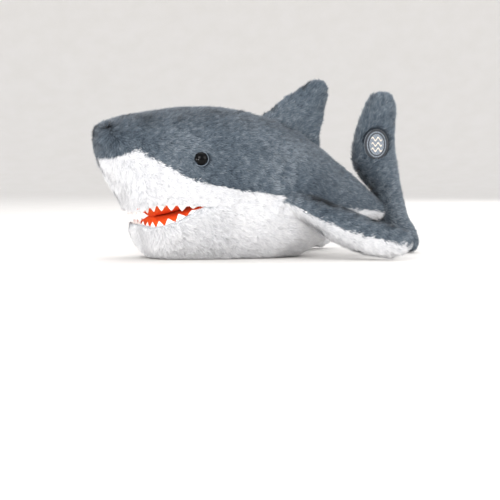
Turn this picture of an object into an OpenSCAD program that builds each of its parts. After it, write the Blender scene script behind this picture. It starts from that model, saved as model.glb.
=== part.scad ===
// Plush shark lying on its belly, mouth open. Millimetres.
// X runs from the nose to the tail, -Y is the toy's left side, +Z is up.
// The origin is the centre of the flat of the belly, on the table.

/* [Body] */
// Nose tip to the end of the tail stem
body_length = 296; // [240:1:350]
// Widest part of the belly
body_width = 134; // [105:1:165]
// Table to the highest point of the back
body_height = 148; // [120:1:180]
// Plush fabric: knitted backing and pile together
cover_t = 5; // [3.5:0.1:6.5]
// Distance from the nose tip to the origin
belly_centre = 140; // [110:1:170]

/* [Mouth] */
// Nose tip to the corner of the mouth, where the jaw turns
mouth_depth = 95; // [84:1:112]
// Height of the mouth corner over the table
mouth_height = 52; // [46:1:60]
// How far the mouth gapes at the front of the side lips
mouth_gape = 21; // [16:0.5:24]
// How far the jaw can be pulled open, in degrees
jaw_open = 10; // [5:1:14]
// Orange lining cloth
lining_t = 1.4; // [1:0.1:2]
// Felt of the teeth
tooth_t = 1.8; // [1.2:0.1:2.4]
// How far a tooth stands past the lip
tooth_height = 7; // [5:0.5:9]
// Teeth in the upper row
upper_teeth_count = 17; // [11:2:23]
// Teeth in the lower row
lower_teeth_count = 15; // [11:2:21]

/* [Eyes] */
// Safety eye, across the dome
eye_d = 15; // [11:0.5:18]
// Height of the dome over its rim
eye_dome_h = 5.5; // [4:0.5:7]
// Stem of the eye
eye_stem_d = 4; // [3:0.1:5]
// Length of the stem behind the dome
eye_stem_l = 13; // [11:0.5:16]
// Nose tip to the eye
eye_back = 92; // [80:1:104]
// Height of the eye over the table
eye_height = 97; // [85:1:110]
// Lock washer, across
washer_d = 18; // [14:0.5:21]
// Lock washer, thickness
washer_t = 1.6; // [1.2:0.1:2]

/* [Dorsal fin] */
// Length of its foot along the back
dorsal_chord = 70; // [56:1:84]
// Height over its foot
dorsal_span = 56; // [46:1:68]
// Thickness of the stuffed fin
dorsal_thick = 22; // [18:1:26]
// Nose tip to the front of its foot
dorsal_back = 168; // [158:1:176]

/* [Pectoral fins] */
// Length of the root along the flank
flipper_chord = 68; // [56:1:80]
// Root to tip, square to the root
flipper_span = 78; // [65:1:92]
// Thickness of the stuffed fin
flipper_thick = 36; // [30:1:44]
// Nose tip to the front of the root
flipper_back = 168; // [158:1:178]
// Height of the front of the root over the table
flipper_height = 57; // [50:1:64]

/* [Tail] */
// Nose tip to the bend of the tail
tail_bend = 250; // [244:1:256]
// Swing of the tail stem to either side, in degrees
stem_swing = 15; // [8:1:18]
// Height of the tail fin, lower tip to upper tip
tail_height = 165; // [138:1:192]
// Widest part of the tail fin, front to back
tail_chord = 80; // [66:1:94]
// Thickness of the stuffed tail fin
tail_thick = 28; // [22:1:32]

/* [Badge] */
// Sewn-on badge, across
badge_w = 26; // [20:1:30]
// Sewn-on badge, height
badge_h = 31; // [24:1:36]
// Badge cloth
badge_t = 1; // [0.6:0.1:1.5]
// Raised embroidery thread
thread_t = 0.8; // [0.5:0.1:1.2]

/* [Pellet pouch] */
// Length along the belly
pouch_l = 92; // [76:1:110]
// Width across the belly
pouch_w = 84; // [70:1:92]
// Height when filled
pouch_h = 22; // [18:1:26]
// Pouch cloth
pouch_t = 1; // [0.6:0.1:1.5]

/* [Hidden] */

grey = [0.36, 0.43, 0.50];
white = [0.95, 0.95, 0.94];
orange = [0.92, 0.33, 0.12];
wadding = [0.98, 0.98, 0.96];

seam_gap = 0.3;     // between pieces that are sewn edge to edge
fit_gap = 0.6;      // between a cover and what it holds
swing_margin = 1;   // degrees kept free past a joint's limit
stem_clearance = 0.05;  // round an eye's stem

// Distances from the nose and heights over the table are given for a body of this size. They follow the
// body when its length or height is changed
made_length = 296;
made_height = 148;
stretch = body_length / made_length;
rise = body_height / made_height;
centre_back = belly_centre * stretch;
mouth_back = mouth_depth * stretch;
corner_height = mouth_height * rise;
gape = mouth_gape * rise;
eye_along = eye_back * stretch;
eye_up = eye_height * rise;
dorsal_start = dorsal_back * stretch;
flipper_start = flipper_back * stretch;
flipper_up = flipper_height * rise;
bend_back = tail_bend * stretch;
pouch_length = pouch_l * stretch;

// ---- Shape of the body ----
// Rows from the nose to the stem's end, as shares of body_length, body_height and half of body_width:
// [along, top, bottom, half width, height of the widest point, height of the grey and white seam]
body_rows = [
    [0.000, 0.805, 0.745, 0.00, 0.775, 0.690],
    [0.009, 0.862, 0.685, 0.22, 0.772, 0.680],
    [0.024, 0.892, 0.600, 0.36, 0.758, 0.675],
    [0.050, 0.911, 0.497, 0.50, 0.730, 0.685],
    [0.081, 0.930, 0.400, 0.60, 0.690, 0.705],
    [0.105, 0.942, 0.310, 0.66, 0.650, 0.715],
    [0.142, 0.957, 0.120, 0.73, 0.600, 0.680],
    [0.186, 0.973, 0.020, 0.80, 0.570, 0.620],
    [0.253, 0.990, -0.034, 0.88, 0.540, 0.545],
    [0.338, 1.001, -0.047, 0.95, 0.500, 0.488],
    [0.422, 1.000, -0.054, 0.985, 0.460, 0.463],
    [0.507, 0.978, -0.054, 1.00, 0.425, 0.440],
    [0.591, 0.930, -0.040, 0.98, 0.405, 0.400],
    [0.676, 0.860, 0.000, 0.89, 0.390, 0.362],
    [0.743, 0.782, 0.060, 0.76, 0.382, 0.340],
    [0.804, 0.694, 0.120, 0.62, 0.372, 0.330],
    [0.858, 0.612, 0.168, 0.49, 0.360, 0.322],
    [0.912, 0.524, 0.205, 0.36, 0.345, 0.318],
    [0.960, 0.446, 0.228, 0.25, 0.328, 0.310],
    [1.000, 0.385, 0.240, 0.18, 0.312, 0.290],
];
last_row = len(body_rows) - 1;
belly_power = 0.82;   // under 1 squares off the lower half of each section

function mix(a, b, f) = a + (b - a) * f;
function clamp(v, lo, hi) = max(lo, min(hi, v));
function ease(f) = let(g = clamp(f, 0, 1)) g * g * (3 - 2 * g);
function signed_power(v, p) = sign(v) * pow(abs(v), p);
function unit(v) = v / norm(v);
function curve(a, b, c, d, f) =
    0.5 * (2 * b + (c - a) * f + (2 * a - 5 * b + 4 * c - d) * f * f + (3 * b - a - 3 * c + d) * f * f * f);
// A row between rows, on a smooth curve through them all
function row_at(rows, t) = let(last = len(rows) - 1, i = clamp(floor(t), 0, last - 1))
    curve(rows[max(i - 1, 0)], rows[i], rows[i + 1], rows[min(i + 2, last)], t - i);
// The row position at a distance from the nose, by halving
function row_of(back, lo = 0, hi = last_row, n = 22) =
    n == 0 ? (lo + hi) / 2
    : let(m = (lo + hi) / 2) row_at(body_rows, m)[0] * body_length < back
        ? row_of(back, m, hi, n - 1) : row_of(back, lo, m, n - 1);

// Raw body surface: angle 0 is the spine, 90 the left flank, 180 the belly, 270 the right flank
function raw_skin(t, angle) = let(r = row_at(body_rows, t), p = cos(angle) < 0 ? belly_power : 1)
    [r[0] * body_length - centre_back,
     -signed_power(sin(angle), p) * r[3] * body_width / 2,
     body_height * (r[4] + signed_power(cos(angle), p) * (cos(angle) < 0 ? r[4] - r[2] : r[1] - r[4]))];
function normal(t, angle) = let(e = 0.02, turn = 1.5,
        t0 = clamp(t, e, last_row - e),
        a0 = abs(angle - 180) < 2 * turn ? 180 : angle,
        along = raw_skin(t0 + e, a0) - raw_skin(t0 - e, a0),
        around = raw_skin(t0, a0 + turn) - raw_skin(t0, a0 - turn))
    unit(cross(around, along));
// Body surface, inset by depth, flattened where it lies on the table
function skin(t, angle, depth = 0) = let(q = raw_skin(t, angle) - depth * normal(t, angle))
    [q[0], q[1], max(q[2], depth)];
// The angle on the left side at which the surface is at a height
function angle_at(t, z) = let(r = row_at(body_rows, t), f = z / body_height)
    f <= r[2] ? 180
    : f < r[4] ? 180 - acos(pow((r[4] - f) / (r[4] - r[2]), 1 / belly_power))
    : acos(min(1, (f - r[4]) / (r[1] - r[4])));
function seam_angle(t) = angle_at(t, row_at(body_rows, t)[5] * body_height);
function edge(t) = 57.3 * seam_gap / 2 / (10 + row_at(body_rows, t)[3] * body_width / 2);

// ---- Mouth ----
lip_front = 0.31;       // front of the upper lip, as a share of mouth_back
chin_front = 0.375;     // front of the lower lip, likewise
hinge_x = mouth_back - centre_back;
function mouth_share(x) = (x + centre_back) / mouth_back;
function upper_lip(x) = let(f = mouth_share(x))
    corner_height + 2.5 * sin(180 * clamp((f - 0.4) / 0.6, 0, 1)) - 4 * ease((0.55 - f) / 0.25);
function lower_lip(x) = let(f = mouth_share(x))
    corner_height - 1 - gape * sin(90 * clamp((1 - f) / 0.5, 0, 1)) + 3 * ease((0.5 - f) / 0.12);
// Where the roof and the floor of the mouth meet
function crease(x) = let(f = mouth_share(x))
    mix(upper_lip(x), lower_lip(x), 0.56 * sin(90 * clamp((1 - f) / 0.2, 0, 1)));
function meeting(x) = ease((mouth_share(x) - 0.44) / 0.17);
function puff(v) = pow(max(0, 1 - v * v), 0.8);
function lip_angle(t) = angle_at(t, upper_lip(raw_skin(t, 90)[0]));
// The angle of the lower lip, or of a line a drop below it
function chin_angle(t, drop = 0) = angle_at(t, lower_lip(raw_skin(t, 90)[0]) - drop);
function lip_point(t, depth) = skin(t, lip_angle(t), depth);
function chin_point(t, depth) = skin(t, chin_angle(t), depth);
// How far in from the plush's surface the teeth and the lining start
tooth_in = cover_t + fit_gap + seam_gap;
lining_in = tooth_in + tooth_t + fit_gap;
function roof_z(x, v) = upper_lip(x) - (upper_lip(x) - crease(x) - seam_gap) * meeting(x) * puff(v);
function floor_z(x, v) = lower_lip(x) + (crease(x) - seam_gap - lower_lip(x)) * meeting(x) * puff(v);
hinge_row = row_of(mouth_back);
bend_row = row_of(bend_back);
lip_row = row_of(lip_front * mouth_back);
chin_row = row_of(chin_front * mouth_back);
// The first row behind the jaw at each angle: it leaves the room that the jaw turns into
function behind_jaw(angle) = let(z = raw_skin(hinge_row, angle)[2])
    row_of(mouth_back + seam_gap + max(0, corner_height - z) * tan(jaw_open + swing_margin));
// The first row of the tail stem at each angle: it leaves the room for the swing
function behind_bend(angle) = let(y = raw_skin(bend_row, angle)[1])
    row_of(bend_back + seam_gap + abs(y) * tan(stem_swing + swing_margin));

// ---- Solids from grids of points ----
function grid(ni, nj, f) = [for (i = [0:ni]) [for (j = [0:nj]) f(i / ni, j / nj)]];
function flat(rows) = [for (r = rows) each r];
// The left side's points kept off the middle plane by half a seam
function left_of(q) = [q[0], min(q[1], -seam_gap / 2), q[2]];

// A closed slab between two grids of the same size
module slab(outer, inner) {
    ni = len(outer);
    nj = len(outer[0]);
    n = ni * nj;
    function at(i, j) = i * nj + j;
    polyhedron(concat(flat(outer), flat(inner)), [
        for (i = [0:ni - 2], j = [0:nj - 2]) each
            let(a = at(i, j), b = at(i + 1, j), c = at(i + 1, j + 1), d = at(i, j + 1))
            [[a, b, c], [a, c, d], [n + a, n + c, n + b], [n + a, n + d, n + c]],
        for (i = [0:ni - 2]) each
            let(a = at(i, 0), b = at(i + 1, 0), c = at(i, nj - 1), d = at(i + 1, nj - 1))
            [[a, n + a, n + b], [a, n + b, b], [c, n + d, n + c], [c, d, n + d]],
        for (j = [0:nj - 2]) each
            let(a = at(0, j), b = at(0, j + 1), c = at(ni - 1, j), d = at(ni - 1, j + 1))
            [[a, n + b, n + a], [a, b, n + b], [c, n + c, n + d], [c, n + d, d]],
    ]);
}

// A closed solid through rings of the same length, closed by a fan at each end
module loft(rings) {
    ni = len(rings);
    nk = len(rings[0]);
    function middle(ring) = [for (k = [0:2]) let(v = [for (q = ring) q[k]]) (min(v) + max(v)) / 2];
    polyhedron(concat(flat(rings), [middle(rings[0]), middle(rings[ni - 1])]), [
        for (i = [0:ni - 2], k = [0:nk - 1]) each
            let(a = i * nk + k, b = (i + 1) * nk + k, l = (k + 1) % nk, c = (i + 1) * nk + l, d = i * nk + l)
            [[a, b, c], [a, c, d]],
        for (k = [0:nk - 1]) each
            let(l = (k + 1) % nk)
            [[ni * nk, k, l], [ni * nk + 1, (ni - 1) * nk + l, (ni - 1) * nk + k]],
    ]);
}

// ---- Covers of the head and body ----
module back_cover_left() color(grey) difference() {
    panel = function (depth) grid(26, 7, function (u, v)
        let(t = bend_row * u) left_of(skin(t, (seam_angle(t) - edge(t)) * v, depth)));
    slab(panel(0), panel(cover_t));
    eye_seat(cover_t / 2, eye_d / 2 + fit_gap);
    eye_seat(2 * cover_t, eye_stem_d / 2 + stem_clearance);
    eye_pocket();
}

module snout_cover_left() color(white) {
    first = row_of(0.03 * mouth_back + 1);
    panel = function (depth) grid(14, 5, function (u, v)
        let(t = mix(first, hinge_row, u))
        left_of(skin(t, mix(seam_angle(t) + edge(t), lip_angle(t), v), depth)));
    slab(panel(0), panel(cover_t));
}

module belly_cover() color(white) {
    panel = function (depth) grid(12, 14, function (u, v)
        let(from = seam_angle(hinge_row), a0 = mix(from, 360 - from, v),
            t = mix(behind_jaw(a0), bend_row, u),
            start = seam_angle(t) + edge(t))
        skin(t, mix(start, 360 - start, v), depth));
    slab(panel(0), panel(cover_t));
}

jaw_steps = 11;         // rows of the jaw's cover, and one fewer in its stuffing
jaw_arc = 14;
function jaw_row(i) = mix(chin_row + 0.25, row_of(mouth_back - seam_gap), i / jaw_steps);
function jaw_skin(i, k, depth, drop = 0) = let(t = jaw_row(i), start = chin_angle(t, drop))
    skin(t, mix(start, 360 - start, k / jaw_arc), depth);

module jaw_cover() color(white)
    slab([for (i = [0:jaw_steps]) [for (k = [0:jaw_arc]) jaw_skin(i, k, 0)]],
         [for (i = [0:jaw_steps]) [for (k = [0:jaw_arc]) jaw_skin(i, k, cover_t)]]);

// ---- Stuffing of the head and body ----
stuffing_in = cover_t + fit_gap;
ring_points = 18;

module head_stuffing() color(wadding) difference() {
    lip_in = function (t) max(1, -lip_point(t, lining_in)[1]);
    loft([for (i = [0:13]) let(t = mix(row_of(4), hinge_row, i / 13))
        [for (k = [0:ring_points - 1])
            let(q = skin(t, 360 * k / ring_points, stuffing_in),
                bound = t < lip_row ? 0
                    : roof_z(q[0], min(1, abs(q[1]) / lip_in(t))) + lining_t + 3 * fit_gap)
            [q[0], q[1], max(q[2], bound)]]]);
    eye_pockets();
}

module body_stuffing() color(wadding) difference() {
    loft([for (i = [0:10])
        [for (k = [0:ring_points - 1])
            let(a = 360 * k / ring_points)
            skin(mix(behind_jaw(a) + 0.001, bend_row, i / 10), a, stuffing_in + seam_gap)]]);
    eye_pockets();
    pouch_pocket();
}

module jaw_stuffing() color(wadding) {
    across = 6;
    under_floor = function (x, v) floor_z(x, v) - lining_t - fit_gap;
    loft([for (i = [1:jaw_steps]) let(rim = chin_point(jaw_row(i), lining_in))
        concat(
            [for (k = [0:jaw_arc]) let(q = jaw_skin(i, k, stuffing_in + seam_gap, stuffing_in))
                [q[0], q[1], min(q[2], under_floor(q[0], min(1, abs(q[1] / rim[1]))))]],
            [for (k = [1:across - 1]) let(v = 1 - 2 * k / across)
                [rim[0], -rim[1] * v, under_floor(rim[0], v)]])]);
}

// ---- Mouth lining and teeth ----
module lining(first, rim, height, side) color(orange) {
    sheet = function (lift) grid(10, 8, function (u, v)
        lining_point(mix(first, hinge_row - 0.06, u), v, rim, height, lift));
    slab(sheet(min(side, 0)), sheet(max(side, 0)));
}
function lining_point(t, v, rim, height, lift) = let(q = rim(t), w = 2 * v - 1)
    [q[0], -q[1] * w, height(q[0], w) + lift * lining_t];

module mouth_roof()
    lining(lip_row + 0.75, function (t) lip_point(t, lining_in), function (x, v) roof_z(x, v), 1);
module mouth_floor()
    lining(chin_row + 0.75, function (t) chin_point(t, lining_in), function (x, v) floor_z(x, v), -1);

// A zigzag strip round the inside of a lip: the foot is sewn in, and the tips stand square to the lip.
// The strip runs from one corner of the mouth round the front to the other
module teeth(count, front, rim, way) color(white) {
    row_round = function (u) row_of(mix(mouth_back - 4, front * mouth_back + 0.8, sin(180 * u)));
    side_of = function (u) u < 0.5 ? 1 : -1;
    on_rim = function (u, depth) let(q = rim(row_round(u), depth)) [q[0], side_of(u) * q[1], q[2]];
    rise = function (u) let(a = rim(row_round(u) - 0.05, tooth_in), b = rim(row_round(u) + 0.05, tooth_in),
        slope = (b[2] - a[2]) / norm(b - a)) unit([-slope, 0, 1]);
    tall = function (x) min(tooth_height, 0.45 * (upper_lip(x) - lower_lip(x)));
    strip = function (depth) [for (j = [0:2 * count]) let(u = j / (2 * count), q = on_rim(u, depth))
        [q - way * 4 * seam_gap * rise(u), q + way * (j % 2 == 1 ? 1 : 0.15) * tall(q[0]) * rise(u)]];
    if (way > 0) slab(strip(tooth_in), strip(tooth_in + tooth_t));
    else slab(strip(tooth_in + tooth_t), strip(tooth_in));
}
module upper_teeth() teeth(upper_teeth_count, lip_front, function (t, depth) lip_point(t, depth), -1);
module lower_teeth() teeth(lower_teeth_count, chin_front, function (t, depth) chin_point(t, depth), 1);

// ---- Eyes ----
eye_row = row_of(eye_along);
eye_angle = angle_at(eye_row, eye_up);
eye_out = normal(eye_row, eye_angle);
// Moves children from the Z axis to the left eye's axis, the fabric's surface at 0
module at_left_eye()
    translate(raw_skin(eye_row, eye_angle))
        rotate([0, acos(eye_out[2]), atan2(eye_out[1], eye_out[0])])
            children();
module eye_seat(depth, r) at_left_eye() translate([0, 0, -depth]) cylinder(r = r, h = depth + 12, $fn = 48);
// Room for the stem and its washer behind the cover
module eye_pocket() at_left_eye() translate([0, 0, -cover_t / 2 - eye_stem_l - fit_gap])
    cylinder(d = washer_d + 2 * fit_gap, h = eye_stem_l + fit_gap - cover_t / 2, $fn = 48);
module eye_pockets() {
    eye_pocket();
    mirror([0, 1, 0]) eye_pocket();
}
dome_r = (eye_d * eye_d / 4 + eye_dome_h * eye_dome_h) / (2 * eye_dome_h);
module left_eye() color([0.02, 0.02, 0.02]) at_left_eye() translate([0, 0, -cover_t / 2 + seam_gap]) {
    intersection() {
        translate([0, 0, eye_dome_h - dome_r]) sphere(r = dome_r, $fn = 64);
        cylinder(d = 2 * eye_d, h = dome_r, $fn = 48);
    }
    translate([0, 0, -eye_stem_l]) cylinder(d = eye_stem_d, h = eye_stem_l + 1, $fn = 32);
}
module left_eye_washer() color("white") at_left_eye()
    translate([0, 0, -cover_t - fit_gap - washer_t]) difference() {
        cylinder(d = washer_d, h = washer_t, $fn = 48);
        translate([0, 0, -1]) cylinder(d = eye_stem_d + 2 * stem_clearance, h = washer_t + 2, $fn = 32);
    }

// ---- Stuffed flat pieces: fins and the pellet pouch ----
foot_gap = 1.2;         // between a fin's foot and the cover it is sewn to
flipper_drop = 18;      // fall of the root line along its length
flipper_slope = -0.14;  // fall of the span, per length
flipper_under = 25;     // how far the middle of the underside dips under the root line
// Outline rows from foot to tip: [front x, front y, back x, back y] as shares of chord and span
dorsal_rows = [[0, 0, 1, 0], [0.12, 0.28, 0.93, 0.28], [0.24, 0.52, 0.87, 0.52],
               [0.36, 0.76, 0.80, 0.77], [0.45, 0.92, 0.74, 0.93], [0.54, 1, 0.66, 1]];
flipper_rows = [[0, 0, 1, 0], [0.30, 0.20, 1.18, 0.22], [0.62, 0.42, 1.34, 0.46],
                [0.96, 0.65, 1.48, 0.69], [1.26, 0.86, 1.58, 0.88], [1.46, 0.98, 1.57, 0.98]];
tail_rows = [[0.78, 0.01, 0.92, 0], [0.62, 0.07, 0.99, 0.05], [0.52, 0.14, 0.94, 0.13],
             [0.44, 0.22, 0.83, 0.21], [0.42, 0.35, 0.75, 0.34], [0.24, 0.45, 0.71, 0.44],
             [0.02, 0.55, 0.68, 0.54], [0.00, 0.66, 0.64, 0.65], [0.07, 0.78, 0.63, 0.78],
             [0.18, 0.90, 0.63, 0.90], [0.28, 0.98, 0.55, 0.98], [0.36, 1, 0.45, 1]];
pouch_rows = [for (v = [0:0.1:1]) let(s = sqrt(1 - pow(2 * v - 1, 4)) * 0.45 + 0.05)
              [0.5 - s, v, 0.5 + s, v]];

// Height of a pillow over its middle. Both ends close in an arc; ends holds each arc's share of the span
function pillow_rise(u, v, ends) = let(a = 1 - min(1, v / ends[0]), b = 1 - min(1, (1 - v) / ends[1]))
    sqrt(max(0, 1 - a * a) * max(0, 1 - b * b)) * pow(max(0, 1 - pow(2 * u - 1, 2)), 0.55);
// A pillow is [outline rows, chord, span, thickness, ends, sag]. A point of its surface, inset by depth
function pillow_point(p, u, v, depth, side) = let(
        last = len(p[0]) - 1,
        r = row_at(p[0], v * last),
        mid = row_at(p[0], last / 2),
        width = (mid[2] - mid[0]) * p[1],
        shrink = 1 - 2 * depth / min(width, p[3] * 1.5),
        centre = [(mid[0] + mid[2]) / 2, 0.5],
        q = centre + (mix([r[0], r[1]], [r[2], r[3]], u) - centre) * shrink)
    [q[0] * p[1], q[1] * p[2],
     side * (pillow_rise(u, v, p[4]) * (p[3] / 2 - depth) + seam_gap / 2)
     + p[5] * sin(180 * clamp(q[1], 0, 1))];
function pillow_grid(p, ni, nj, depth, side) =
    grid(ni, nj, function (u, v) pillow_point(p, v, u, depth, side));
// The sewn half of a pillow's cover on one side of its middle, and what fills both halves
module pillow_half(p, t, side, ni = 11, nj = 9)
    if (side > 0) slab(pillow_grid(p, ni, nj, 0, side), pillow_grid(p, ni, nj, t, side));
    else slab(pillow_grid(p, ni, nj, t, side), pillow_grid(p, ni, nj, 0, side));
module pillow_fill(p, t, ni = 11, nj = 9)
    slab(pillow_grid(p, ni, nj, t + fit_gap, 1), pillow_grid(p, ni, nj, t + fit_gap, -1));
// Puts children where x, y and their cross product are a piece's own axes
module placed(origin, x, y) let(z = cross(x, y))
    multmatrix([[x[0], y[0], z[0], origin[0]], [x[1], y[1], z[1], origin[1]], [x[2], y[2], z[2], origin[2]]])
        children();

// ---- Dorsal fin ----
dorsal = [dorsal_rows, dorsal_chord, dorsal_span, dorsal_thick, [0.19, 0.25], 0];
function spine(back) = raw_skin(row_of(back), 0);
dorsal_foot = spine(dorsal_start);
dorsal_x = unit(spine(dorsal_start + 0.89 * dorsal_chord) - dorsal_foot);
dorsal_y = [-dorsal_x[2], 0, dorsal_x[0]];
// How far the back stands over the straight line between the ends of the foot
dorsal_lift = foot_gap
    + max([for (f = [0:0.1:0.9]) (spine(dorsal_start + f * dorsal_chord) - dorsal_foot) * dorsal_y]);
module at_dorsal() placed(dorsal_foot + dorsal_lift * dorsal_y, dorsal_x, dorsal_y) children();
module dorsal_fin_left_cover() at_dorsal() color(grey) pillow_half(dorsal, cover_t, 1);
module dorsal_fin_right_cover() at_dorsal() color(grey) pillow_half(dorsal, cover_t, -1);
module dorsal_fin_stuffing() at_dorsal() color(wadding) pillow_fill(dorsal, cover_t);

// ---- Pectoral fins ----
// The outline's y grows away from the body, and the fin sags onto the table
flipper_sag = flipper_under - flipper_thick / 2;
flipper = [flipper_rows, flipper_chord, flipper_span, flipper_thick, [0.25, 0.42], flipper_sag];
function flank(f) = let(t = row_of(flipper_start + f * flipper_chord))
    raw_skin(t, angle_at(t, flipper_up - f * flipper_drop));
flipper_foot = flank(0);
flipper_x = unit(flank(0.9) - flipper_foot);
flipper_y = let(f = [0.10, -0.94, flipper_slope]) unit(f - (f * flipper_x) * flipper_x);
flipper_lift = foot_gap + max([for (f = [0:0.1:0.9]) (flank(f) - flipper_foot) * flipper_y]);
module at_flipper() placed(flipper_foot + flipper_lift * flipper_y, flipper_x, flipper_y) children();
module left_fin_top_cover() at_flipper() color(grey) pillow_half(flipper, cover_t, -1);
module left_fin_under_cover() at_flipper() color(white) pillow_half(flipper, cover_t, 1);
module left_fin_stuffing() at_flipper() color(wadding) pillow_fill(flipper, cover_t);
module right_fin_top_cover() mirror([0, 1, 0]) left_fin_top_cover();
module right_fin_under_cover() mirror([0, 1, 0]) left_fin_under_cover();
module right_fin_stuffing() mirror([0, 1, 0]) left_fin_stuffing();

// ---- Tail ----
tail = [tail_rows, tail_chord, tail_height, tail_thick, [0.14, 0.14], 0];
stem_end = body_length - centre_back;
tail_lift = 0.3;        // the tail fin's lower tip over the table
function tail_front(z) = let(last = len(tail_rows) - 1, v = (z - tail_lift) / tail_height)
    tail_chord * min([for (k = [0:0.05:last]) let(r = row_at(tail_rows, k))
        abs(r[1] - v) < 0.008 ? r[0] : 1]);
stem_low = body_height * body_rows[last_row][2];
stem_high = body_height * body_rows[last_row][1];
// The tail fin's front edge stands clear of the stem over the whole of the stem's height
tail_at = stem_end + 2 - min([for (f = [0:0.2:1]) tail_front(mix(stem_low, stem_high, f))]);
module at_tail() placed([tail_at, 0, tail_lift], [1, 0, 0], [0, 0, 1]) children();
badge_centre = [0.29 * tail_chord, 0.675 * tail_height];

module stem_cover_left() color(grey) {
    panel = function (depth) grid(6, 6, function (u, v)
        let(full = seam_angle(bend_row), a0 = full * v, t = mix(behind_bend(a0), last_row, u))
        left_of(skin(t, (seam_angle(t) - edge(t)) * v, depth)));
    slab(panel(0), panel(cover_t));
}
module stem_belly_cover() color(white) {
    panel = function (depth) grid(6, 8, function (u, v)
        let(from = seam_angle(bend_row), t = mix(behind_bend(mix(from, 360 - from, v)), last_row, u),
            start = seam_angle(t) + edge(t))
        skin(t, mix(start, 360 - start, v), depth));
    slab(panel(0), panel(cover_t));
}
module stem_stuffing() color(wadding)
    loft([for (i = [0:6])
        [for (k = [0:ring_points - 1])
            let(a = 360 * k / ring_points)
            skin(mix(behind_bend(a), last_row, i / 6), a, stuffing_in)]]);

module tail_fin_left_cover() at_tail() color(grey) pillow_half(tail, cover_t, 1, 18, 8);
module tail_fin_right_cover() at_tail() color(grey) pillow_half(tail, cover_t, -1, 18, 8);
module tail_fin_stuffing() at_tail() color(wadding) pillow_fill(tail, cover_t, 18, 8);

module oval(w, h, grow = 0)
    polygon([for (a = [0:7.5:352.5]) [(w / 2 + grow) * cos(a), (h / 2 + grow) * sin(a)]]);
module on_badge(level) at_tail() translate([badge_centre[0], badge_centre[1], -tail_thick / 2 - level])
    mirror([0, 0, 1]) children();
module badge_cloth() color(grey) on_badge(seam_gap) linear_extrude(badge_t) oval(badge_w, badge_h);
module badge_rim() color([0.12, 0.15, 0.2]) on_badge(seam_gap + badge_t)
    linear_extrude(thread_t) difference() {
        oval(badge_w, badge_h, -0.3);
        oval(badge_w, badge_h, -2);
    }
module badge_waves() color([0.93, 0.86, 0.78]) for (k = [-1:1])
    on_badge(seam_gap + badge_t) translate([0, 6 * k, 0]) linear_extrude(thread_t)
        polygon(concat([for (x = [-6:0.5:6]) [x, 1.6 * sin(60 * x) + 0.7]],
                       [for (x = [6:-0.5:-6]) [x, 1.6 * sin(60 * x) - 0.7]]));

// ---- Pellet pouch in the belly ----
pouch = [pouch_rows, pouch_w, pouch_length, pouch_h, [0.2, 0.2], 0];
// The pouch lies on the belly's cover, just behind the room for the jaw
pouch_front = hinge_x + 2 * fit_gap + corner_height * tan(jaw_open + swing_margin);
module at_pouch()
    placed([pouch_front, pouch_w / 2, cover_t + fit_gap + pouch_h / 2], [0, -1, 0], [1, 0, 0]) children();

module pellet_pouch() at_pouch() color("ivory") {
    pillow_half(pouch, pouch_t, 1, 9, 9);
    pillow_half(pouch, pouch_t, -1, 9, 9);
}
// The hollow of the stuffing that holds the pouch
module pouch_pocket() at_pouch()
    slab(pillow_grid(pouch, 9, 9, -fit_gap, 1), pillow_grid(pouch, 9, 9, -fit_gap, -1));
module pellets() at_pouch() color("tan") pillow_fill(pouch, pouch_t, 9, 9);

// ---- Right-hand pieces, the left ones mirrored ----
module back_cover_right() mirror([0, 1, 0]) back_cover_left();
module snout_cover_right() mirror([0, 1, 0]) snout_cover_left();
module stem_cover_right() mirror([0, 1, 0]) stem_cover_left();
module right_eye() mirror([0, 1, 0]) left_eye();
module right_eye_washer() mirror([0, 1, 0]) left_eye_washer();

back_cover_left();
back_cover_right();
snout_cover_left();
snout_cover_right();
belly_cover();
head_stuffing();
body_stuffing();
pellet_pouch();
pellets();
mouth_roof();
upper_teeth();
left_eye();
right_eye();
left_eye_washer();
right_eye_washer();
jaw_cover();
jaw_stuffing();
mouth_floor();
lower_teeth();
dorsal_fin_left_cover();
dorsal_fin_right_cover();
dorsal_fin_stuffing();
left_fin_top_cover();
left_fin_under_cover();
left_fin_stuffing();
right_fin_top_cover();
right_fin_under_cover();
right_fin_stuffing();
stem_cover_left();
stem_cover_right();
stem_belly_cover();
stem_stuffing();
tail_fin_left_cover();
tail_fin_right_cover();
tail_fin_stuffing();
badge_cloth();
badge_rim();
badge_waves();
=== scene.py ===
"""Plush shark lying on its belly, mouth open. Metres outside, millimetres in the shape functions.
X runs from the nose to the tail, -Y is the toy's left side, +Z is up."""
import math
import bpy
import numpy as np
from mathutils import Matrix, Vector


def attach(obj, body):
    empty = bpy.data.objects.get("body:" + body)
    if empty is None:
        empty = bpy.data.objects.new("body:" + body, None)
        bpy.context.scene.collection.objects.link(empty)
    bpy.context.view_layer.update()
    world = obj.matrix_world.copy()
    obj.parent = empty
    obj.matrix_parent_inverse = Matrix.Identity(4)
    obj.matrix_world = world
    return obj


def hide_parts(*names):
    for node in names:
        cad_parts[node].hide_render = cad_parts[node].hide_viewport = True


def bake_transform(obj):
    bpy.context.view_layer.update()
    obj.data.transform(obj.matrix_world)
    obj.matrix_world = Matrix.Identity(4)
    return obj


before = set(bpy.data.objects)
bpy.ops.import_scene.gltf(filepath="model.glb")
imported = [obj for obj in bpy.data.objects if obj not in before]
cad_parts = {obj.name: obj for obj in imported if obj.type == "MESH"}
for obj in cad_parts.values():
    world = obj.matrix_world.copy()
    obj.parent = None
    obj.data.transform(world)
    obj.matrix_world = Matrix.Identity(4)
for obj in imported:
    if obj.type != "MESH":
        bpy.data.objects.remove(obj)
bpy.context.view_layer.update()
scene = bpy.context.scene

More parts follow.
